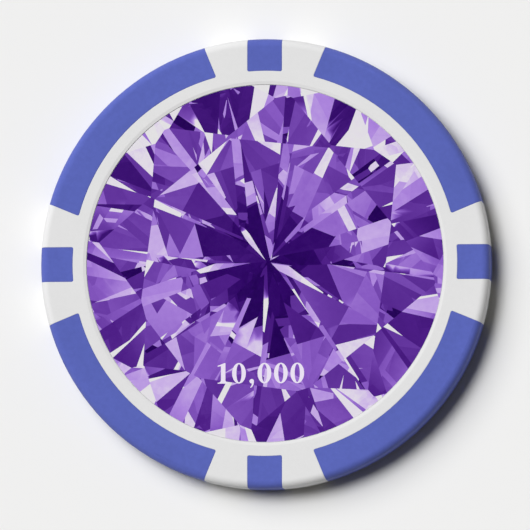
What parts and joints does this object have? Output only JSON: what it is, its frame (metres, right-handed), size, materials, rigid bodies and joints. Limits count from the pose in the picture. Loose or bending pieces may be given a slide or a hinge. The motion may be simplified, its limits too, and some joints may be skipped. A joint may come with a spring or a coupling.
{
  "type": "casino chip",
  "caption": "Round moulded casino chip with a steel weight inside, inlaid edge spots in a second colour, and a printed label recessed in each face.",
  "frame": {"origin": "centre of the back face, on the plane of the white ring", "axes": "+Z through the thickness, out of the front face; +Y towards the top of the front label's print and through an edge block; +X to its right"},
  "size_m": [0.039, 0.039, 0.0033],
  "materials": {
    "body_plastic": "satin",
    "spot_plastic": "satin",
    "slug_steel": "stamped",
    "label_adhesive": "tacky",
    "label_film": "printed",
    "label_laminate": "clear"
  },
  "bodies": {
    "root": {"chip_body": "body_plastic", "steel_slug": "slug_steel", "edge_arc_1": "spot_plastic", "edge_arc_2": "spot_plastic", "edge_arc_3": "spot_plastic", "edge_arc_4": "spot_plastic", "edge_block_1": "spot_plastic", "edge_block_2": "spot_plastic", "edge_block_3": "spot_plastic", "edge_block_4": "spot_plastic", "front_label_adhesive": "label_adhesive", "front_label_film": "label_film", "front_label_laminate": "label_laminate", "back_label_adhesive": "label_adhesive", "back_label_film": "label_film", "back_label_laminate": "label_laminate"}
  },
  "joints": []
}
